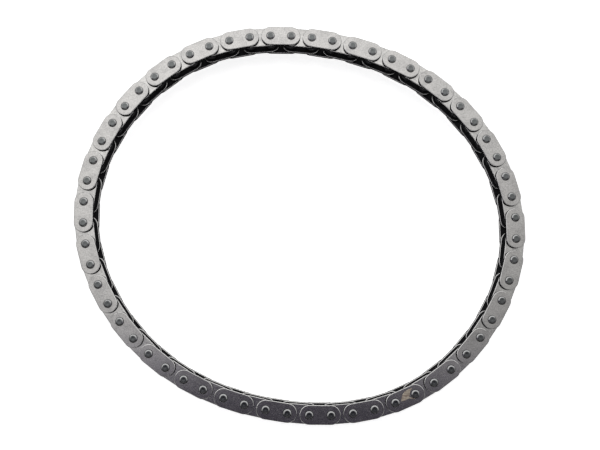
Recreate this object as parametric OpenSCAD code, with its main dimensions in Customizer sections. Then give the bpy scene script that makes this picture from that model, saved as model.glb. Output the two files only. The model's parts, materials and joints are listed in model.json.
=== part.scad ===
/*
Timing chain for an engine's camshaft drive: an endless single-strand bush chain, lying
flat on its pin ends, with +Z up through the pins and the origin under the loop's centre.
Outer links (two plates on two pins) and inner links (two plates on two bushes) take turns.
*/

/* [Chain] */
// Distance from one pin to the next along the chain
pitch = 9.525; // [8.9:0.005:11]
// Number of outer links, and so of inner links too
outer_links = 30; // [24:2:30]

/* [Plates] */
// Height of every plate across its straight edges
plate_height = 8.4; // [7.7:0.02:8.7]
// Thickness of an outer plate
outer_plate_t = 1.5; // [1:0.05:1.8]
// Thickness of an inner plate
inner_plate_t = 1.75; // [1.2:0.05:2.1]
// Width between the two inner plates, where the wheel's teeth go
inner_width = 6.6; // [5.3:0.1:7.2]
// Worn and tumbled edge round the faces of a plate
edge_break = 0.2; // [0.05:0.01:0.35]
// Edge break at the mouth of a plate's pin hole
hole_break = 0.14; // [0.05:0.01:0.25]

/* [Pins and bushes] */
// Diameter of a pin
pin_d = 3.5; // [3:0.02:3.9]
// Height by which each pin end stands proud of its outer plate
pin_proud = 0.75; // [0.4:0.01:1]
// Width of the slope round a pin's end
pin_slope_w = 0.5; // [0.2:0.01:0.7]
// Height of the slope round a pin's end
pin_slope_h = 0.35; // [0.15:0.01:0.5]
// Outer diameter of a bush
bush_d = 5.8; // [5.4:0.02:6.2]
// Gap between a pin and its bush, all round
pin_gap = 0.04; // [0.02:0.005:0.08]
// Gap between an outer plate and the inner plate beside it
side_gap = 0.08; // [0.04:0.01:0.2]
// Hairline all round a pin or bush where it is pressed into its plates
press_seam = 0.01; // [0.005:0.005:0.03]

/* [Lie of the loop] */
// Heading of the first link, turning left from the X axis, in degrees
first_heading = 4.5; // [-20:0.1:20]
// How far the headings swing from those of a circle to make the loop oval, in degrees
oval_swing = 5.8; // [0:0.05:14]
// Where the oval's swing starts, in degrees
oval_start = -35.4; // [-180:0.1:180]
// Swing of the four flatter stretches, in degrees
square_swing = 0.9; // [0:0.01:2]
// Where the flatter stretches' swing starts, in degrees
square_start = -112; // [-180:0.1:180]
// Swing of the six small waves in which the slack links lie, in degrees
wave_swing = 1.08; // [0:0.01:1.5]
// Where the small waves' swing starts, in degrees
wave_start = -52.9; // [-180:0.1:180]

/* [Hidden] */
link_count = 2 * outer_links;
plate_r = plate_height / 2;
pin_r = pin_d / 2;
bush_r = bush_d / 2;
bush_bore_r = pin_r + pin_gap;
bush_length = inner_width + 2 * inner_plate_t;

// Heights above the surface that the pin ends stand on
lower_outer_z = pin_proud;
lower_inner_z = lower_outer_z + outer_plate_t + side_gap;
upper_inner_z = lower_inner_z + inner_plate_t + inner_width;
upper_outer_z = upper_inner_z + inner_plate_t + side_gap;
pin_length = upper_outer_z + outer_plate_t + pin_proud;

// Tools that cut a hole reach past the plate by this much
overcut = 1;
round_fn = 64;

// Even links are outer links, odd links inner links, numbered clockwise from the top
function is_outer(i) = i % 2 == 0;
function two_digits(n) = str(n < 10 ? "0" : "", n);
function link_name(i) =
    str(is_outer(i) ? "outer_link_" : "inner_link_", two_digits(floor(i / 2) + 1));

// Swing of a given number of waves round the loop, at link i. Only even numbers are used,
// so the two halves of the loop mirror each other through the origin and the loop closes.
function swing(i, waves, size, start) = size * sin(waves * 360 * i / link_count + start);

// Direction in which link i runs from its first pin to its second
function heading(i) =
    first_heading
    - 360 * i / link_count
    + swing(i, 2, oval_swing, oval_start)
    + swing(i, 4, square_swing, square_start)
    + swing(i, 6, wave_swing, wave_start);

function step(i) = pitch * [cos(heading(i)), sin(heading(i)), 0];

// Sum of the steps of the links before link i
function run_to(i) = i == 0 ? [0, 0, 0] : run_to(i - 1) + step(i - 1);

// The first pin lies opposite the pin half a loop on, with the origin midway
first_pin = -run_to(link_count / 2) / 2;

function pin_place(i) = first_pin + run_to(i);

// A link's own frame has its first pin at the origin and its second along +X
module at_both_pins() {
    for (x = [0, pitch])
        translate([x, 0, 0])
            children();
}

// Round end of a plate, with its edges broken
module plate_end(thickness) {
    rotate_extrude($fn = round_fn)
        polygon([
            [0, 0],
            [plate_r - edge_break, 0],
            [plate_r, edge_break],
            [plate_r, thickness - edge_break],
            [plate_r - edge_break, thickness],
            [0, thickness]
        ]);
}

// Straight middle of a plate between its two pins, with its edges broken
module plate_middle(thickness) {
    rotate([90, 0, 90])
        linear_extrude(height = pitch)
            polygon([
                [-plate_r + edge_break, 0],
                [plate_r - edge_break, 0],
                [plate_r, edge_break],
                [plate_r, thickness - edge_break],
                [plate_r - edge_break, thickness],
                [-plate_r + edge_break, thickness],
                [-plate_r, thickness - edge_break],
                [-plate_r, edge_break]
            ]);
}

module plate_blank(thickness) {
    at_both_pins()
        plate_end(thickness);
    plate_middle(thickness);
}

// Hole for a press fit, with the mouth on the outer face broken
module broken_hole(radius, thickness) {
    translate([0, 0, -overcut])
        cylinder(r = radius, h = thickness + 2 * overcut, $fn = round_fn);
    translate([0, 0, thickness - hole_break])
        cylinder(r1 = radius, r2 = radius + hole_break, h = hole_break, $fn = round_fn);
}

module outer_plate() {
    difference() {
        plate_blank(outer_plate_t);
        at_both_pins()
            broken_hole(pin_r + press_seam, outer_plate_t);
    }
}

module inner_plate() {
    difference() {
        plate_blank(inner_plate_t);
        at_both_pins()
            broken_hole(bush_r + press_seam, inner_plate_t);
    }
}

// A plate turned over, so that its outer face looks down
module turned_over(thickness) {
    translate([0, 0, thickness])
        mirror([0, 0, 1])
            children();
}

module pin() {
    rotate_extrude($fn = round_fn)
        polygon([
            [0, 0],
            [pin_r - pin_slope_w, 0],
            [pin_r, pin_slope_h],
            [pin_r, pin_length - pin_slope_h],
            [pin_r - pin_slope_w, pin_length],
            [0, pin_length]
        ]);
}

module bush() {
    difference() {
        cylinder(r = bush_r, h = bush_length, $fn = round_fn);
        translate([0, 0, -overcut])
            cylinder(r = bush_bore_r, h = bush_length + 2 * overcut, $fn = round_fn);
    }
}

// Two pins pressed into two outer plates
module outer_link() {
    color("silver") {
        translate([0, 0, upper_outer_z])
            outer_plate();
        translate([0, 0, lower_outer_z])
            turned_over(outer_plate_t)
                outer_plate();
    }
    color("dimgray")
        at_both_pins()
            pin();
}

// Two bushes pressed into two inner plates, flush with their outer faces
module inner_link() {
    color("gainsboro") {
        translate([0, 0, upper_inner_z])
            inner_plate();
        translate([0, 0, lower_inner_z])
            turned_over(inner_plate_t)
                inner_plate();
    }
    color("slategray")
        translate([0, 0, lower_inner_z])
            at_both_pins()
                bush();
}

module chain_link(i) {
    translate(pin_place(i))
        rotate([0, 0, heading(i)])
            if (is_outer(i))
                outer_link();
            else
                inner_link();
}

for (i = [0 : link_count - 1])
    chain_link(i);
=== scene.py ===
"""Finish of a timing chain: every plate, pin and bush as its own surface, and the studio."""
import json
import math

import bpy
import numpy as np
from bpy.props import FloatProperty, FloatVectorProperty, PointerProperty
from bpy.types import Operator, Panel, PropertyGroup
from mathutils import Matrix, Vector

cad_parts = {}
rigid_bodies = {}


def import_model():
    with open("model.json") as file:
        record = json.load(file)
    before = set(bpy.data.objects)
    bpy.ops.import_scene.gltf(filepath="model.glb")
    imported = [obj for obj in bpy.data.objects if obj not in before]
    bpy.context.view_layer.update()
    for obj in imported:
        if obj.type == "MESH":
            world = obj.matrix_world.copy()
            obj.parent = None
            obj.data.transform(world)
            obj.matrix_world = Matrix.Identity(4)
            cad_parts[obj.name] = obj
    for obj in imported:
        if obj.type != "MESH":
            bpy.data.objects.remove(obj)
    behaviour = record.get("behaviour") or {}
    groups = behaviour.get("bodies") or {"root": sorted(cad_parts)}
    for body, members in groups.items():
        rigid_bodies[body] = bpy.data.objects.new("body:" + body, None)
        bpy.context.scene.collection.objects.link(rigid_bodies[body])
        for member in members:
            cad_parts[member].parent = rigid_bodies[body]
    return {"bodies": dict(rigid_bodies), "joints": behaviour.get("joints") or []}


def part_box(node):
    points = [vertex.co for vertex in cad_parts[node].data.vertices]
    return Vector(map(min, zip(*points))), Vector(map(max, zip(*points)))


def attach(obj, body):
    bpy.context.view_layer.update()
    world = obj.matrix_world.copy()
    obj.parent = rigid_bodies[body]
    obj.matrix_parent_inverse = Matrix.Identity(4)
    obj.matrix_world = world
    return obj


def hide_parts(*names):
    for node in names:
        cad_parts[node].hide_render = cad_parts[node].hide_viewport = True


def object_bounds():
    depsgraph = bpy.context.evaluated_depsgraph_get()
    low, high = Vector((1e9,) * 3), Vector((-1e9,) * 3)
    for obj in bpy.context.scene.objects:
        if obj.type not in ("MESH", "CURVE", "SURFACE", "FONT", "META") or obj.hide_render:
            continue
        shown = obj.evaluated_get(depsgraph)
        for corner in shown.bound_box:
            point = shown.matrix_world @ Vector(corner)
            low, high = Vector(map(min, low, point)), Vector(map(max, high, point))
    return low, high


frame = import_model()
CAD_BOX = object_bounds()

bl_info = {
    "name": "Timing chain finish",
    "version": (1, 0, 0),
    "blender": (4, 5, 0),
    "location": "3D View > Sidebar > Chain",
    "description": "Plates, pins and bushes of a timing chain, with their steel and its studio",
    "category": "Object",
}

MM = 0.001

# Even links are outer links, odd links inner links
OUTER, INNER = 0, 1
# Hairline all round a pin or bush where it is pressed into its plates
PRESS_SEAM = 0.01 * MM
# Depth of the relief that marks give to steel and paint
RELIEF = 0.01 * MM
# Points closer together than this, in metres, are welded
WELD_DISTANCE = 1e-7


def length(name, text, size, low, high):
    """A size in millimetres, kept in metres."""
    return FloatProperty(name=name, description=text, default=size * MM, min=low * MM,
                         max=high * MM, unit="LENGTH", precision=5)


def level(name, text, value, low, high):
    """A plain number, such as a share or a strength."""
    return FloatProperty(name=name, description=text, default=value, min=low, max=high)


def colour(name, text, rgb):
    """A linear colour."""
    return FloatVectorProperty(name=name, description=text, default=rgb, min=0, max=1,
                               size=3, subtype="COLOR")


class PlateSizes(PropertyGroup):
    height: length("Height", "Height of a plate across its straight edges", 8.4, 7.7, 8.7)
    outer_thickness: length("Outer thickness", "Thickness of an outer plate", 1.5, 1, 1.8)
    inner_thickness: length("Inner thickness", "Thickness of an inner plate", 1.75, 1.2, 2.1)
    edge_round: length("Edge round", "Radius of the tumbled edges of a plate", 0.25, 0.05, 0.35)
    hole_break: length("Hole break", "Edge break at a hole's mouth", 0.18, 0.05, 0.25)
    paint_thickness: length("Paint thickness", "Thickness of the timing mark", 0.02, 0.01, 0.1)


class PinSizes(PropertyGroup):
    diameter: length("Pin diameter", "Diameter of a pin", 3.5, 3, 3.9)
    slope_width: length("Slope width", "Width of the slope round a pin's end", 0.5, 0.2, 0.7)
    slope_height: length("Slope height", "Height of the slope round a pin's end", 0.27, 0.15, 0.5)
    rim_width: length("Rim width", "Width of the soft rim inside the slope", 0.14, 0, 0.3)
    proud: length("Proud", "Height of a pin's end above its plate", 0.75, 0.4, 1)
    dish_width: length("Dish width", "Width of the shallow dish in a pin's end", 0.7, 0.5, 2)
    dish_depth: length("Dish depth", "Depth of the shallow dish in a pin's end", 0.012, 0, 0.2)


class BushSizes(PropertyGroup):
    diameter: length("Bush diameter", "Outer diameter of a bush", 5.8, 5.4, 6.2)
    pin_gap: length("Pin gap", "Gap between a bush and its pin", 0.04, 0.02, 0.08)
    mouth_break: length("Mouth break", "Edge break at the ends of a bush", 0.15, 0.05, 0.3)


class SteelLook(PropertyGroup):
    outer: colour("Outer plate face", "Tumbled face of an outer plate", (0.617, 0.603, 0.586))
    inner: colour("Inner plate face", "Tumbled face of an inner plate", (0.672, 0.66, 0.64))
    film: colour("Film", "Colour of the faces under the duller film", (0.4, 0.392, 0.384))
    # Inside: painted shade on the plate faces that look into the gap between two plates
    inside: colour("Inside", "Dark face between two plates", (0.022, 0.022, 0.024))
    # Plate edge: painted shade on the edges and bores inside the loop
    wall: colour("Plate edge", "Oily edge of a plate, inside the loop", (0.022, 0.022, 0.024))
    outer_wall: colour("Outer edge", "Edge of a plate, outside the loop", (0.38, 0.375, 0.365))
    # Worn edge: wear with a painted highlight, on the corners that look up
    worn_highlight: colour("Worn edge", "Bright rounded corner of a plate", (0.76, 0.75, 0.74))
    pin_end: colour("Pin end", "Flat end of a pin", (0.172, 0.18, 0.18))
    pin_slope: colour("Pin slope", "Slope round a pin's end", (0.37, 0.37, 0.37))
    # Shaft: painted shade on the pins and on the bushes inside the loop
    shaft: colour("Shaft", "Pin and bush between the plates", (0.035, 0.035, 0.038))
    bush: colour("Bush", "Side of a bush that looks out of the loop", (0.17, 0.17, 0.175))
    paint: colour("Timing mark", "Tan paint of the timing mark", (0.48, 0.42, 0.335))
    bare: colour("Thin paint", "Brown of the mark where the paint is thin", (0.25, 0.19, 0.155))


class StudioLook(PropertyGroup):
    floor: colour("Floor", "Pale floor and backdrop", (0.85, 0.85, 0.85))
    glow: level("Glow", "Light that the floor shows to the camera and to the metal", 0.78, 0, 1)
    overhead: level("Overhead", "Level of the light straight above", 0.575, 0, 2)
    rise: level("Rise to the back", "Gain of the overhead light towards the back", 1.56, 0, 3)
    lean: level("Lean to the left", "Gain of the overhead light towards the left", 0.56, 0, 2)
    shade: level("Shade in front", "Level of the dark part above the front", 0.044, 0, 1)
    slant: level("Slant", "Slant of the shade's edge, forward on the right", 0.045, 0, 0.2)
    beyond: level("Beyond the shade", "Level of the light in front, past the dark part", 0.25, 0, 2)
    band: level("Band", "Light added half way up, behind and at both sides", 0.8, 0, 2)
    low_back: level("Low back light", "Level behind, low over the floor", 0.56, 0, 3)
    low_front: level("Low front light", "Level in front, low over the floor", 0.085, 0, 2)
    horizon: level("Horizon", "Least level close to the horizon, all round", 0.4, 0, 2)


# Where the links lie, from the frame


def link_index(name):
    """Number of a link, clockwise from the top: outer links are even, inner links odd."""
    number = int(name.rsplit("_", 1)[1]) - 1
    return 2 * number + (OUTER if name.startswith("outer") else INNER)


def link_names():
    """Names of all the links, clockwise from the top."""
    return sorted(frame["bodies"], key=link_index)


def pin_places():
    """Places of all the pins in the floor's plane, as rows of X and Y. Link i runs from pin i
    to pin i + 1. The one pin with no joint lies opposite its partner, through the origin."""
    count = len(frame["bodies"])
    places = np.full((count, 2), np.nan)
    for joint in frame["joints"]:
        parent = link_index(joint["parent"])
        child = link_index(joint["child"])
        shared = child if child == (parent + 1) % count else parent
        places[shared] = joint["pos_m"][:2]
    missing = np.isnan(places[:, 0])
    places[missing] = -np.roll(places, count // 2, axis=0)[missing]
    return places


PINS = pin_places()
LINKS = link_names()
PITCH = float(np.linalg.norm(PINS[1] - PINS[0]))


def place_on_link(points, index):
    """Moves points from a link's own frame, first pin at the origin and second along +X, to
    where that link lies. In that frame +Y looks away from the middle of the loop."""
    start = PINS[index]
    along = (PINS[(index + 1) % len(PINS)] - start) / PITCH
    turned = np.empty_like(points)
    turned[:, 0] = start[0] + points[:, 0] * along[0] - points[:, 1] * along[1]
    turned[:, 1] = start[1] + points[:, 0] * along[1] + points[:, 1] * along[0]
    turned[:, 2] = points[:, 2]
    return turned


# Surfaces


class Surface:
    """Points, four-cornered faces (a corner may repeat) and each face's material number."""

    def __init__(self, points, quads, material):
        self.points = points
        self.quads = quads
        self.material = material

    def face_middles(self):
        """Middle of each face: the mean of its four corners."""
        return self.points[self.quads].mean(axis=1)

    def mirrored(self, axis, total):
        """The same surface with one coordinate c turned into total - c."""
        points = self.points.copy()
        points[:, axis] = total - points[:, axis]
        return Surface(points, self.quads[:, ::-1], self.material)

    def moved(self, x=0.0, z=0.0):
        """The same surface, moved along X and Z."""
        return Surface(self.points + np.array([x, 0, z]), self.quads, self.material)

    def joined(self, other):
        """Both surfaces as one, with points that meet welded."""
        points = np.concatenate([self.points, other.points])
        quads = np.concatenate([self.quads, other.quads + len(self.points)])
        return Surface(points, quads, np.concatenate([self.material, other.material])).welded()

    def welded(self):
        """The same surface with points that meet made one, and points of no face dropped."""
        key = np.round(self.points / WELD_DISTANCE).astype(np.int64)
        _, first, number = np.unique(key, axis=0, return_index=True, return_inverse=True)
        quads = number.reshape(-1)[self.quads]
        used, quads = np.unique(quads, return_inverse=True)
        return Surface(self.points[first][used], quads.reshape(-1, 4), self.material)


def grid(rings, material, keep=None):
    """Faces between each ring of points and the next, and round each ring. rings has the shape
    (rings, columns, 3). The last ring joins the first where material has as many entries as
    there are rings. keep says, for each ring and column, which faces stay."""
    count, columns, _ = rings.shape
    bands = len(material)
    ring = np.arange(bands)[:, None]
    column = np.arange(columns)[None, :]
    ring_on = (ring + 1) % count
    column_on = (column + 1) % columns
    corners = [ring * columns + column, ring * columns + column_on,
               ring_on * columns + column_on, ring_on * columns + column]
    quads = np.stack(np.broadcast_arrays(*corners), axis=-1)
    numbers = np.repeat(np.array(material)[:, None], columns, axis=1)
    if keep is None:
        keep = np.ones((bands, columns), bool)
    return Surface(rings.reshape(-1, 3), quads[keep], numbers[keep]).welded()


def revolved(profile, material, columns):
    """Surface of revolution about Z: each (radius, height) of the profile becomes a circle. It
    closes into a tube where material has as many entries as the profile."""
    angle = np.linspace(0, 2 * math.pi, columns, endpoint=False)
    radius, height = np.array(profile).T
    rings = np.stack([np.outer(radius, np.cos(angle)), np.outer(radius, np.sin(angle)),
                      np.outer(height, np.ones(columns))], axis=-1)
    return grid(rings, material)


def outline(radius, inset, end_steps, side_steps, middle_steps):
    """Half of a plate's outline, drawn in by inset: along the lower edge to the pin, round the
    end, back along the upper edge, and down the middle line between the two pins."""
    r = radius - inset
    to_pin = np.linspace(PITCH / 2, 0, side_steps + 1)[:-1]
    round_end = np.linspace(-0.5 * math.pi, -1.5 * math.pi, end_steps + 1)[:-1]
    from_pin = np.linspace(0, PITCH / 2, side_steps + 1)[:-1]
    down = np.linspace(r, -r, middle_steps + 1)[:-1]
    x = np.concatenate([to_pin, r * np.cos(round_end), from_pin, np.full(middle_steps, PITCH / 2)])
    y = np.concatenate([np.full(side_steps, -r), r * np.sin(round_end),
                        np.full(side_steps, r), down])
    return np.stack([x, y], axis=-1)


# Material numbers of a plate's faces
# The wall and inside numbers are painted shade; the worn number is wear with a painted highlight
FACE, WALL, WORN_HIGHLIGHT, INSIDE, OUTER_WALL = range(5)


def plate_surface(sizes, thickness, hole_radius, corners, end_steps=16, side_steps=3,
                  middle_steps=8, round_steps=3):
    """A link plate lying on Z = 0 with its outer face up. Each half is a closed band round its
    own hole: up the bore, over the broken mouth, across the face to the outline, round the
    tumbled corner (a quarter circle), down the wall, round the lower corner and back across
    the inner face. The second half is the first one mirrored, and the two are welded. corners
    holds the material numbers of the corner at the outer face and of the one at the inner, but
    the steep third of each is finished as the wall is. Bore, mouth, wall and inner face carry
    painted shade. Where wall and corners look away from the middle of the loop, along +Y, they
    have the plain steel of the outer edge instead."""
    radius = sizes.height / 2
    corner = sizes.edge_round
    wall_columns = end_steps + 2 * side_steps
    base = outline(radius, corner, end_steps, side_steps, middle_steps)
    angle = np.arctan2(base[:, 1], base[:, 0])

    def hole_ring(r, z):
        return np.stack([r * np.cos(angle), r * np.sin(angle), np.full(len(angle), z)], axis=-1)

    def edge_ring(turn, upper):
        inset = corner * (1 - math.sin(turn))
        depth = corner * (1 - math.cos(turn))
        flat = outline(radius, inset, end_steps, side_steps, middle_steps)
        z = thickness - depth if upper else depth
        return np.concatenate([flat, np.full((len(flat), 1), z)], axis=1)

    turns = np.linspace(0, math.pi / 2, round_steps + 1)
    hole_rings = [hole_ring(hole_radius, 0.0),
                  hole_ring(hole_radius, thickness - sizes.hole_break),
                  hole_ring(hole_radius + sizes.hole_break, thickness)]
    edge_rings = [edge_ring(turn, True) for turn in turns]
    edge_rings += [edge_ring(turn, False) for turn in turns[::-1]]
    rings = np.array(hole_rings + edge_rings)

    steep = round_steps // 3
    material = [WALL, WALL, FACE] + [corners[0]] * (round_steps - steep)
    material += [WALL] * (2 * steep + 1) + [corners[1]] * (round_steps - steep) + [INSIDE]
    # The halves meet on the middle line, so the wall and its corners leave it out
    keep = np.ones(rings.shape[:2], bool)
    keep[len(hole_rings):-1, wall_columns:] = False
    half = grid(rings, material, keep)

    # Outside the loop, along +Y, wall and corners get the plain steel of the outer edge; inside it
    # they keep painted shade and painted highlight
    middle = half.face_middles()
    far_out = np.hypot(middle[:, 0], middle[:, 1]) > hole_radius + sizes.hole_break
    on_edge = np.isin(half.material, (WALL, WORN_HIGHLIGHT)) & far_out
    half.material[on_edge & (middle[:, 1] > 0)] = OUTER_WALL
    return half.joined(half.mirrored(0, PITCH))


def upper_and_lower(sizes, thickness, hole_radius):
    """The plate for the top of the chain and, turned over, the one for its underside. Inside the
    loop, the corners that look up carry wear and a painted highlight, and the others painted shade."""
    upper = plate_surface(sizes, thickness, hole_radius, (WORN_HIGHLIGHT, WALL))
    lower = plate_surface(sizes, thickness, hole_radius, (WALL, WORN_HIGHLIGHT))
    return upper, lower.mirrored(2, thickness)


# Material numbers of a pin's faces
PIN_END, PIN_SLOPE, PIN_SHAFT = range(3)
# A point on the wall of the dish, as shares of the dish's radius and depth
DISH_WALL = (0.55, 0.8)
# Width of a shading band at a slope's end, as a share of the slope's width
SHADING_BAND = 0.04


def pin_surface(sizes, pin_length, columns=32):
    """A pin turned about Z: a shallow dish in each end, a flat ring, a soft rim half as steep
    as the slope, the slope itself and the straight shaft. A narrow band at each end of the
    slope keeps its shading straight."""
    radius = sizes.diameter / 2
    dish = sizes.dish_width / 2
    flat = radius - sizes.slope_width
    rim = sizes.rim_width / 2
    steepness = sizes.slope_height / sizes.slope_width
    narrow = SHADING_BAND * sizes.slope_width
    end = [(0.0, sizes.dish_depth), (DISH_WALL[0] * dish, DISH_WALL[1] * sizes.dish_depth),
           (dish, 0.0), (flat - rim - narrow, 0.0), (flat - rim, 0.0)]
    end += [(r, (r - flat) * steepness)
            for r in (flat + rim, flat + rim + narrow, radius - narrow, radius)]
    end += [(radius, sizes.slope_height + narrow)]
    profile = end + [(r, pin_length - z) for r, z in end[::-1]]
    half = [PIN_END] * 4 + [PIN_SLOPE] * 4 + [PIN_SHAFT]
    return revolved(profile, half + [PIN_SHAFT] + half[::-1], columns)


# Material numbers of a bush's faces
# The first is painted shade, the second the bush's own steel
PAINTED_SHADE_INWARD, OUTWARD = range(2)
# A bush looks outward where its Y is more than this share of its radius
OUTWARD_SHARE = 0.15


def bush_surface(sizes, bore_radius, bush_length, columns=32):
    """A bush turned about Z: bore, broken mouths and outside, closed into a tube. Where it looks
    away from the middle of the loop, along +Y, it has a finish of its own; elsewhere it carries
    painted shade."""
    radius = sizes.diameter / 2
    cut = sizes.mouth_break
    profile = [(bore_radius, cut), (bore_radius + cut, 0.0), (radius - cut, 0.0), (radius, cut),
               (radius, bush_length - cut), (radius - cut, bush_length),
               (bore_radius + cut, bush_length), (bore_radius, bush_length - cut)]
    bush = revolved(profile, [PAINTED_SHADE_INWARD] * len(profile), columns)
    middle = bush.face_middles()
    outside = np.hypot(middle[:, 0], middle[:, 1]) > radius - cut
    bush.material[outside & (middle[:, 1] > OUTWARD_SHARE * radius)] = OUTWARD
    return bush


# Edges of the timing mark in its link's own frame, in millimetres, from its lower tip to its
# upper one: left X and Y, then right X and Y
MARK_EDGES = ((0.3, -2.85, 0.4, -2.95), (0.9, -2.35, 2.0, -3.05), (1.5, -1.75, 3.6, -2.95),
              (2.0, -1.0, 5.2, -2.2), (2.4, -0.3, 6.3, -0.9), (2.75, 0.05, 7.2, 0.5),
              (2.85, 0.2, 5.2, 0.8), (2.7, 0.35, 3.35, 0.6), (2.0, 0.95, 2.5, 1.15),
              (1.3, 1.5, 1.6, 1.7), (0.8, 1.9, 0.9, 2.0))
MARK_LINK = "outer_link_14"
# Depth of the mark's flat bottom under the plate's face, as a share of the mark's thickness
MARK_SINK = 0.2
# Power that makes the mark's top flat, with steep sides
MARK_POWER = 0.25


def mark_surface(thickness, rows=31, columns=9):
    """A film of paint on Z = 0. A point lies the share a of the way from the left edge to the
    right one, and the share b from the lower tip to the upper one. Its bottom is flat, just
    under the face that it lies on. Its top swells up from there to the thickness above the
    face, by the fourth root of sin(pi a) sin(pi b)."""
    edges = np.array(MARK_EDGES) * MM
    b = np.linspace(0, 1, rows)
    knots = np.linspace(0, 1, len(edges))
    left_x, left_y, right_x, right_y = (np.interp(b, knots, side) for side in edges.T)
    a = np.linspace(0, 1, columns)
    x = np.outer(left_x, 1 - a) + np.outer(right_x, a)
    y = np.outer(left_y, 1 - a) + np.outer(right_y, a)
    swell = np.outer(np.sin(math.pi * b), np.sin(math.pi * a)).clip(0, 1) ** MARK_POWER
    under = -MARK_SINK * thickness
    top = np.stack([x, y, under + (1 + MARK_SINK) * thickness * swell], axis=-1)
    bottom = np.stack([x, y, np.full_like(x, under)], axis=-1)[:, -2:0:-1]
    return grid(np.concatenate([top, bottom], axis=1), [0] * (rows - 1))


def mesh_object(name, points, quads, numbers, materials, flat_numbers=()):
    """A new object at the origin, in the scene. A face with a repeated corner becomes a
    triangle. Faces whose material number is in flat_numbers are shaded flat, the others
    smooth."""
    repeated = quads == np.roll(quads, -1, axis=1)
    three = repeated.any(axis=1)
    triangles = quads[three][~repeated[three]].reshape(-1, 3)
    numbers = np.concatenate([numbers[~three], numbers[three]])
    mesh = bpy.data.meshes.new(name)
    mesh.from_pydata(points.tolist(), [], quads[~three].tolist() + triangles.tolist())
    for material in materials:
        mesh.materials.append(material)
    mesh.polygons.foreach_set("material_index", numbers.astype(np.int32))
    mesh.polygons.foreach_set("use_smooth", ~np.isin(numbers, flat_numbers))
    mesh.update()
    if mesh.validate():
        raise ValueError(name + " has faults in its mesh")
    made = bpy.data.objects.new(name, mesh)
    bpy.context.scene.collection.objects.link(made)
    return made


def pointing_outwards(points, quads):
    """The faces of a closed surface, turned round where its volume comes out negative. The
    volume is the sum over all triangles of a . (b x c), seen from the surface's middle."""
    middle = points.mean(axis=0)
    a, b, c, d = (points[quads[:, i]] - middle for i in range(4))
    volume = np.einsum("ij,ij->", a, np.cross(b, c)) + np.einsum("ij,ij->", a, np.cross(c, d))
    return quads if volume > 0 else quads[:, ::-1]


def make_piece(name, surface, index, materials, flat_numbers=(), coat=False):
    """Puts a surface where its link lies, as an object of its own that moves with that link and
    takes its finish. A coat, such as paint, lies on the link and doesn't stand for it."""
    points = place_on_link(surface.points, index)
    quads = pointing_outwards(points, surface.quads)
    piece = mesh_object(name, points, quads, surface.material, materials, flat_numbers)
    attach(piece, LINKS[index])
    if not coat:
        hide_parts(LINKS[index])


# Steel and paint


def node_tree_group(name, inputs, outputs):
    """A new shader node group with its named inputs and outputs."""
    group = bpy.data.node_groups.new(name, "ShaderNodeTree")
    for socket, kind in inputs:
        group.interface.new_socket(name=socket, in_out="INPUT", socket_type=kind)
    for socket, kind in outputs:
        group.interface.new_socket(name=socket, in_out="OUTPUT", socket_type=kind)
    return group, group.nodes.new("NodeGroupInput"), group.nodes.new("NodeGroupOutput")


def new_material(name):
    """A new material, its node tree and its shader."""
    material = bpy.data.materials.new(name)
    material.use_nodes = True
    return material, material.node_tree, material.node_tree.nodes["Principled BSDF"]


def object_place(tree):
    """The place of a point in its object."""
    return tree.nodes.new("ShaderNodeTexCoord").outputs["Object"]


def laid(tree, vector, turn, scale):
    """A pattern's coordinates, turned about Z and scaled."""
    lay = tree.nodes.new("ShaderNodeMapping")
    lay.inputs["Rotation"].default_value = (0, 0, turn)
    lay.inputs["Scale"].default_value = scale
    tree.links.new(vector, lay.inputs["Vector"])
    return lay.outputs["Vector"]


def noise(tree, vector, scale, detail, roughness):
    """Cloudy noise with the given number of waves in a metre."""
    made = tree.nodes.new("ShaderNodeTexNoise")
    made.inputs["Scale"].default_value = scale
    made.inputs["Detail"].default_value = detail
    made.inputs["Roughness"].default_value = roughness
    tree.links.new(vector, made.inputs["Vector"])
    return made.outputs["Fac"]


def spread(tree, value, low, high, to_low=0.0, to_high=1.0):
    """Stretches the values between low and high over to_low to to_high, with soft ends."""
    made = tree.nodes.new("ShaderNodeMapRange")
    made.interpolation_type = "SMOOTHSTEP"
    made.inputs["From Min"].default_value = low
    made.inputs["From Max"].default_value = high
    made.inputs["To Min"].default_value = to_low
    made.inputs["To Max"].default_value = to_high
    tree.links.new(value, made.inputs["Value"])
    return made.outputs["Result"]


def maths(tree, operation, first, second):
    """Result of one operation on two values. A value is a socket or a number."""
    made = tree.nodes.new("ShaderNodeMath")
    made.operation = operation
    for socket, value in zip(made.inputs, (first, second)):
        if isinstance(value, (int, float)):
            socket.default_value = value
        else:
            tree.links.new(value, socket)
    return made.outputs["Value"]


def weighted(tree, *parts):
    """Sum of values, each times its weight."""
    terms = [maths(tree, "MULTIPLY", value, weight) for value, weight in parts]
    total = terms[0]
    for term in terms[1:]:
        total = maths(tree, "ADD", total, term)
    return total


def greatest(tree, *values):
    """The greatest of some values. Each is a socket or a number, the first one a socket."""
    largest = values[0]
    for value in values[1:]:
        largest = maths(tree, "MAXIMUM", largest, value)
    return largest


def mixed(tree, factor, first, second):
    """Blend of two colours by a factor."""
    made = tree.nodes.new("ShaderNodeMix")
    made.data_type = "RGBA"
    tree.links.new(factor, made.inputs["Factor"])
    made.inputs["A"].default_value = (*first, 1)
    made.inputs["B"].default_value = (*second, 1)
    return made.outputs["Result"]


def bump(tree, shader, height, strength):
    """Relief that follows a height, on the shader's normal."""
    relief = tree.nodes.new("ShaderNodeBump")
    relief.inputs["Strength"].default_value = strength
    relief.inputs["Distance"].default_value = RELIEF
    tree.links.new(height, relief.inputs["Height"])
    tree.links.new(relief.outputs["Normal"], shader.inputs["Normal"])


# Directions of the scratches on tumbled steel, in radians
SCRATCH_TURNS = (0.4, 1.7, 2.6)


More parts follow.
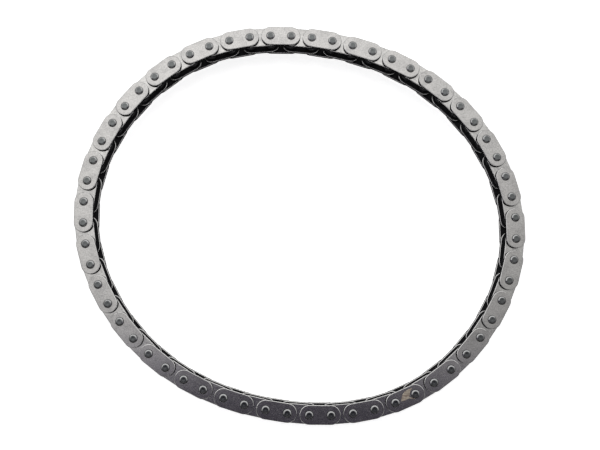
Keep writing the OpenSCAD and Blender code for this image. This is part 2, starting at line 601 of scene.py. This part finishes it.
def tumbled_steel_group():
    """Marks that tumbling leaves on steel: a cloudy film, fine grain, and short scratches that
    run every way. It gives a film mask, a grain mask and a height for the bump."""
    group, entry, leave = node_tree_group(
        "tumbled_steel",
        [("Vector", "NodeSocketVector")],
        [("Film", "NodeSocketFloat"), ("Grain", "NodeSocketFloat"), ("Height", "NodeSocketFloat")])
    vector = entry.outputs["Vector"]
    cloud = noise(group, vector, scale=260, detail=3, roughness=0.6)
    speck = noise(group, vector, scale=1500, detail=3, roughness=0.6)
    grain = noise(group, vector, scale=5200, detail=2, roughness=0.6)
    scratches = []
    for turn in SCRATCH_TURNS:
        lay = laid(group, vector, turn, scale=(1, 14, 1))
        streak = noise(group, lay, scale=700, detail=2, roughness=0.5)
        scratches.append(spread(group, streak, low=0.62, high=0.72))
    marks = greatest(group, *scratches)
    cloudy = spread(group, cloud, low=0.35, high=0.75)
    speckled = spread(group, speck, low=0.36, high=0.66)
    film = weighted(group, (cloudy, 0.5), (speckled, 0.5))
    rough = weighted(group, (grain, 0.6), (marks, 0.4))
    height = weighted(group, (grain, 0.5), (marks, -0.5), (speck, 0.6))
    group.links.new(film, leave.inputs["Film"])
    group.links.new(rough, leave.inputs["Grain"])
    group.links.new(height, leave.inputs["Height"])
    return group


def steel(name, bright, dull, roughness, relief, metallic=1.0, shine=0.5):
    """Steel whose colour goes from bright to dull with the film, and whose roughness goes from
    the first value of its pair to the second with the grain. Painted shade is metallic 0 with
    little shine. Pieces that ask for the same name share one material."""
    if name in bpy.data.materials:
        return bpy.data.materials[name]
    material, tree, shader = new_material(name)
    marks = tree.nodes.new("ShaderNodeGroup")
    marks.node_tree = bpy.data.node_groups.get("tumbled_steel") or tumbled_steel_group()
    tree.links.new(object_place(tree), marks.inputs["Vector"])
    tree.links.new(mixed(tree, marks.outputs["Film"], bright, dull), shader.inputs["Base Color"])
    grain = spread(tree, marks.outputs["Grain"], 0.1, 0.9, *roughness)
    tree.links.new(grain, shader.inputs["Roughness"])
    shader.inputs["Metallic"].default_value = metallic
    shader.inputs["Specular IOR Level"].default_value = shine
    bump(tree, shader, marks.outputs["Height"], relief)
    return material


def brushed_paint(name, thick, thin):
    """Matt paint put on with a dry brush: streaks that run across the link at a slant, thick
    and light along their middles and thin between them."""
    material, tree, shader = new_material(name)
    place = object_place(tree)
    lay = laid(tree, place, turn=math.radians(-60), scale=(1, 4, 1))
    streak = noise(tree, lay, scale=420, detail=3, roughness=0.6)
    grain = noise(tree, place, scale=4000, detail=2, roughness=0.6)
    cover = spread(tree, streak, low=0.4, high=0.62)
    tree.links.new(mixed(tree, cover, thin, thick), shader.inputs["Base Color"])
    matt = spread(tree, grain, low=0.2, high=0.8, to_low=0.5, to_high=0.75)
    tree.links.new(matt, shader.inputs["Roughness"])
    bump(tree, shader, streak, strength=0.5)
    return material


def shade(rgb, share):
    """A colour brought down to a share of its light."""
    return tuple(channel * share for channel in rgb)


def plate_steels(look, face_name, face):
    """The five finishes of a plate, in the order FACE, WALL, WORN_HIGHLIGHT, INSIDE, OUTER_WALL."""
    return [steel(face_name, face, look.film, roughness=(0.12, 0.2), relief=0.3),
            # Painted shade on the plate's edges and bores inside the loop
            steel("blanked_edge", look.wall, shade(look.wall, 0.6), roughness=(0.45, 0.6),
                  relief=0.8, metallic=0.0, shine=0.0),
            # Wear with a painted highlight, on the corners that look up
            steel("worn_corner", look.worn_highlight, shade(look.worn_highlight, 0.75), roughness=(0.22, 0.36),
                  relief=0.3),
            # Painted shade on the faces between two plates
            steel("oiled_inside", look.inside, shade(look.inside, 0.6), roughness=(0.4, 0.55),
                  relief=0.5, metallic=0.0, shine=0.1),
            steel("outer_edge", look.outer_wall, shade(look.outer_wall, 0.6),
                  roughness=(0.3, 0.45), relief=0.8)]


def pin_steels(look):
    """The three finishes of a pin, in the order PIN_END, PIN_SLOPE, PIN_SHAFT."""
    return [steel("pin_end", look.pin_end, shade(look.pin_end, 0.7), roughness=(0.15, 0.28),
                  relief=0.3),
            steel("pin_slope", look.pin_slope, shade(look.pin_slope, 0.7), roughness=(0.1, 0.18),
                  relief=0.2),
            oiled_shaft(look)]


def bush_steels(look):
    """The two finishes of a bush, in order: painted shade, then the bush's own dark steel where it
    looks out.
    """
    return [oiled_shaft(look),
            steel("dark_bush", look.bush, shade(look.bush, 0.6), roughness=(0.25, 0.4),
                  relief=0.3)]


def oiled_shaft(look):
    """Painted shade in near-black steel, shared by the pins' shafts and the bushes."""
    return steel("oiled_shaft", look.shaft, shade(look.shaft, 0.6), roughness=(0.35, 0.5),
                 relief=0.3, metallic=0.0, shine=0.05)


# Operators: one for each group of like pieces, and one for the studio


class PieceMaker:
    """What the makers of pieces share: the panel's sizes, the links and the frame's boxes."""

    bl_options = {"REGISTER", "UNDO"}

    def sizes(self, context):
        """The plates', pins' and bushes' sizes, and the look of the steel."""
        scene = context.scene
        return scene.chain_plates, scene.chain_pins, scene.chain_bushes, scene.chain_steel

    def links(self, kind):
        """Numbers and names of the links of one kind, OUTER or INNER."""
        return [(i, LINKS[i]) for i in range(kind, len(LINKS), 2)]

    def span(self, name):
        """Lowest and highest Z of a link."""
        low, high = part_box(name)
        return low[2], high[2]

    def make_plates(self, kind, sizes, thickness, hole_radius, inset, materials):
        """An upper and a lower plate on every link of one kind, each set in by the inset from
        the link's top or bottom."""
        over, under = upper_and_lower(sizes, thickness, hole_radius)
        for index, name in self.links(kind):
            low, high = self.span(name)
            upper = over.moved(z=high - inset - thickness)
            lower = under.moved(z=low + inset)
            make_piece(name + "_upper_plate", upper, index, materials, (FACE, INSIDE))
            make_piece(name + "_lower_plate", lower, index, materials, (FACE, INSIDE))

    def make_at_both_pins(self, kind, surface, ending, materials):
        """The same surface at the first and the second pin of every link of one kind."""
        for index, name in self.links(kind):
            for end, offset in (("_first_", 0.0), ("_second_", PITCH)):
                make_piece(name + end + ending, surface.moved(x=offset), index, materials)


class CHAIN_OT_outer_plates(PieceMaker, Operator):
    """Makes the two outer plates of every outer link, pressed on its pins."""

    bl_idname = "chain.outer_plates"
    bl_label = "Outer plates"

    def execute(self, context):
        plates, pins, _, look = self.sizes(context)
        materials = plate_steels(look, "outer_plate_face", look.outer)
        self.make_plates(OUTER, plates, plates.outer_thickness, pins.diameter / 2 + PRESS_SEAM,
                         pins.proud, materials)
        return {"FINISHED"}


class CHAIN_OT_inner_plates(PieceMaker, Operator):
    """Makes the two inner plates of every inner link, pressed on its bushes."""

    bl_idname = "chain.inner_plates"
    bl_label = "Inner plates"

    def execute(self, context):
        plates, _, bushes, look = self.sizes(context)
        materials = plate_steels(look, "inner_plate_face", look.inner)
        self.make_plates(INNER, plates, plates.inner_thickness, bushes.diameter / 2 + PRESS_SEAM,
                         0.0, materials)
        return {"FINISHED"}


class CHAIN_OT_pins(PieceMaker, Operator):
    """Makes the two pins of every outer link."""

    bl_idname = "chain.pins"
    bl_label = "Pins"

    def execute(self, context):
        _, pins, _, look = self.sizes(context)
        low, high = self.span(LINKS[OUTER])
        pin = pin_surface(pins, high - low).moved(z=low)
        self.make_at_both_pins(OUTER, pin, "pin", pin_steels(look))
        return {"FINISHED"}


class CHAIN_OT_bushes(PieceMaker, Operator):
    """Makes the two bushes of every inner link, turning on the pins of its neighbours."""

    bl_idname = "chain.bushes"
    bl_label = "Bushes"

    def execute(self, context):
        _, pins, bushes, look = self.sizes(context)
        low, high = self.span(LINKS[INNER])
        bore_radius = pins.diameter / 2 + bushes.pin_gap
        bush = bush_surface(bushes, bore_radius, high - low).moved(z=low)
        self.make_at_both_pins(INNER, bush, "bush", bush_steels(look))
        return {"FINISHED"}


class CHAIN_OT_timing_mark(PieceMaker, Operator):
    """Brushes the timing mark on the upper plate of one outer link."""

    bl_idname = "chain.timing_mark"
    bl_label = "Timing mark"

    def execute(self, context):
        plates, pins, _, look = self.sizes(context)
        if MARK_LINK not in LINKS:
            raise ValueError("The chain has no link called " + MARK_LINK)
        _, high = self.span(MARK_LINK)
        mark = mark_surface(plates.paint_thickness).moved(z=high - pins.proud)
        paint = brushed_paint("timing_mark_paint", look.paint, look.bare)
        make_piece(MARK_LINK + "_timing_mark", mark, link_index(MARK_LINK), [paint], coat=True)
        return {"FINISHED"}


# Where the studio's light changes with its direction (x, y, z), of length 1. "To back" is y / z
# and "to right" is x / z, as if the light came from a flat ceiling
CEILING_LEAST_Z = 0.3
# Least and most light on the ceiling, before the shade is taken out
CEILING_LEAST, CEILING_MOST = 0.25, 1.19
# To back: the edge of the shade above the front, and where light comes back beyond it
SHADE_EDGE = (-0.085, -0.02)
PAST_SHADE = (-0.3, -0.6)
# z: where the ceiling's light takes over from the low light
CEILING_FOOT = (0.64, 0.74)
# z: foot and head of the bright band
BAND_FOOT = (0.34, 0.46)
BAND_HEAD = (0.76, 0.66)
# y: where the bright band sets in, from the front back to the sides
BAND_START = (-0.45, -0.05)
# y: where the low light grows, from the middle to the back
LOW_GROWTH = (0.0, 0.7)
# z: where the least level near the horizon sets in, from above down
HORIZON_HEAD = (0.33, 0.25)
# Colours of the light in the shade above the front, and everywhere else
SHADE_TINT = (1, 0.9, 1.32)
PLAIN_WHITE = (1, 1, 1)


def studio_world(look):
    """Soft light from above that grows to the back and to the left. It falls off sharply over a
    dark strip above the front and comes back, dimmer, beyond it. Half way up, a bright band runs
    round the back and both sides. Under it the light is dim in front and grows to the back, and
    close to the horizon it has a least level all round."""
    world = bpy.data.worlds.new("studio")
    world.use_nodes = True
    tree = world.node_tree
    background = tree.nodes["Background"]
    direction = tree.nodes.new("ShaderNodeTexCoord")
    split = tree.nodes.new("ShaderNodeSeparateXYZ")
    tree.links.new(direction.outputs["Generated"], split.inputs["Vector"])
    x, y, z = split.outputs

    height = greatest(tree, z, CEILING_LEAST_Z)
    to_right = maths(tree, "DIVIDE", x, height)
    to_back = maths(tree, "DIVIDE", y, height)
    slope = weighted(tree, (to_back, look.rise), (to_right, -look.lean))
    slope = greatest(tree, maths(tree, "ADD", slope, look.overhead), CEILING_LEAST)
    slope = maths(tree, "MINIMUM", slope, CEILING_MOST)
    slanted = maths(tree, "ADD", to_back, maths(tree, "MULTIPLY", to_right, look.slant))
    edge = spread(tree, slanted, *SHADE_EDGE)
    past = spread(tree, to_back, *PAST_SHADE)
    ceiling = greatest(tree, maths(tree, "MULTIPLY", slope, edge),
                       maths(tree, "MULTIPLY", past, look.beyond))
    ceiling = maths(tree, "ADD", ceiling, look.shade)

    low = greatest(tree, spread(tree, y, *LOW_GROWTH, look.low_front, look.low_back),
                   spread(tree, z, *HORIZON_HEAD, 0.0, look.horizon))
    share = spread(tree, z, *CEILING_FOOT)
    rest = maths(tree, "SUBTRACT", 1.0, share)
    band = maths(tree, "MULTIPLY", spread(tree, z, *BAND_FOOT), spread(tree, z, *BAND_HEAD))
    light = weighted(tree, (ceiling, share), (low, rest),
                     (band, spread(tree, y, *BAND_START, 0.0, look.band)))
    tree.links.new(light, background.inputs["Strength"])

    tint = mixed(tree, greatest(tree, edge, past, rest), SHADE_TINT, PLAIN_WHITE)
    tree.links.new(tint, background.inputs["Color"])
    return world


def floor_material(look):
    """Plain pale floor. It also glows for the camera and for reflections, so it shows white
    there and lights nothing else, and it keeps the soft shadow of the chain."""
    material, tree, shader = new_material("pale_floor")
    shader.inputs["Base Color"].default_value = (*look.floor, 1)
    shader.inputs["Roughness"].default_value = 0.9
    shader.inputs["Specular IOR Level"].default_value = 0.1
    shader.inputs["Emission Color"].default_value = (1, 1, 1, 1)
    ray = tree.nodes.new("ShaderNodeLightPath").outputs
    seen = greatest(tree, ray["Is Camera Ray"], ray["Is Glossy Ray"], ray["Is Transmission Ray"])
    tree.links.new(maths(tree, "MULTIPLY", seen, look.glow), shader.inputs["Emission Strength"])
    return material


# The floor: its radius, the radius of the curve at its rim and the top of its wall, in metres
FLOOR_RADIUS = 3.0
FLOOR_CURVE = 0.3
FLOOR_WALL_TOP = 0.45
# The photograph's width and the camera's focal length, in pixels
PHOTO_WIDTH = 600
PHOTO_FOCAL = 800
# Width of the camera's sensor, in millimetres, and its nearest sight, in metres
SENSOR_WIDTH = 36
NEAREST_SIGHT = 0.01
# The camera's turns about X and Y, in degrees, and its place, in millimetres: X, Y and the
# height above the pins' ends. All come from fitting the photograph's sixty pins
CAMERA_TILT = 6.87
CAMERA_LEAN = -0.61
CAMERA_X, CAMERA_Y, CAMERA_HEIGHT = -3.77, -44.86, 353.1


class CHAIN_OT_studio(Operator):
    """Makes the pale floor with its low curved backdrop, the soft light and the camera."""

    bl_idname = "chain.studio"
    bl_label = "Studio"

    def execute(self, context):
        look = context.scene.chain_studio
        self.make_floor(look)
        context.scene.world = studio_world(look)
        self.make_camera()
        context.scene.view_settings.view_transform = "Standard"
        return {"FINISHED"}

    def make_floor(self, look, curve_steps=8, columns=96):
        """A disc that curves up at its rim into a low wall, turned about Z. The curve is a
        quarter circle."""
        flat = FLOOR_RADIUS - FLOOR_CURVE
        curve = [(flat + FLOOR_CURVE * math.sin(turn), FLOOR_CURVE * (1 - math.cos(turn)))
                 for turn in np.linspace(0, math.pi / 2, curve_steps + 1)]
        profile = [(0.0, 0.0)] + curve + [(FLOOR_RADIUS, FLOOR_WALL_TOP)]
        surface = revolved(profile, [0] * (len(profile) - 1), columns)
        floor = mesh_object("floor", surface.points, surface.quads[:, ::-1], surface.material,
                            [floor_material(look)])

    def make_camera(self):
        """Almost straight above, a little in front of the middle, as the photograph was taken."""
        data = bpy.data.cameras.new("camera")
        data.sensor_width = SENSOR_WIDTH
        data.lens = SENSOR_WIDTH * PHOTO_FOCAL / PHOTO_WIDTH
        data.clip_start = NEAREST_SIGHT
        camera = bpy.data.objects.new("camera", data)
        tilt = Matrix.Rotation(math.radians(CAMERA_TILT), 4, "X")
        lean = Matrix.Rotation(math.radians(CAMERA_LEAN), 4, "Y")
        place = Matrix.Translation((CAMERA_X * MM, CAMERA_Y * MM,
                                    CAD_BOX[1][2] + CAMERA_HEIGHT * MM))
        camera.matrix_world = place @ tilt @ lean
        bpy.context.scene.collection.objects.link(camera)
        bpy.context.scene.camera = camera


class CHAIN_PT_panel(Panel):
    """Lists the makers of the chain's pieces and of its studio."""

    bl_label = "Timing chain"
    bl_idname = "CHAIN_PT_panel"
    bl_space_type = "VIEW_3D"
    bl_region_type = "UI"
    bl_category = "Chain"

    def draw(self, context):
        for operator in OPERATORS:
            self.layout.operator(operator.bl_idname)


OPERATORS = (CHAIN_OT_outer_plates, CHAIN_OT_inner_plates, CHAIN_OT_pins, CHAIN_OT_bushes,
             CHAIN_OT_timing_mark, CHAIN_OT_studio)
GROUPS = {"chain_plates": PlateSizes, "chain_pins": PinSizes, "chain_bushes": BushSizes,
          "chain_steel": SteelLook, "chain_studio": StudioLook}


def register():
    for group in GROUPS.values():
        bpy.utils.register_class(group)
    for name, group in GROUPS.items():
        setattr(bpy.types.Scene, name, PointerProperty(type=group))
    for operator in OPERATORS:
        bpy.utils.register_class(operator)
    bpy.utils.register_class(CHAIN_PT_panel)


def unregister():
    bpy.utils.unregister_class(CHAIN_PT_panel)
    for operator in reversed(OPERATORS):
        bpy.utils.unregister_class(operator)
    for name in GROUPS:
        delattr(bpy.types.Scene, name)
    for group in reversed(GROUPS.values()):
        bpy.utils.unregister_class(group)


def main():
    register()
    bpy.ops.chain.outer_plates()
    bpy.ops.chain.inner_plates()
    bpy.ops.chain.pins()
    bpy.ops.chain.bushes()
    bpy.ops.chain.timing_mark()
    bpy.ops.chain.studio()


if __name__ == "__main__":
    main()
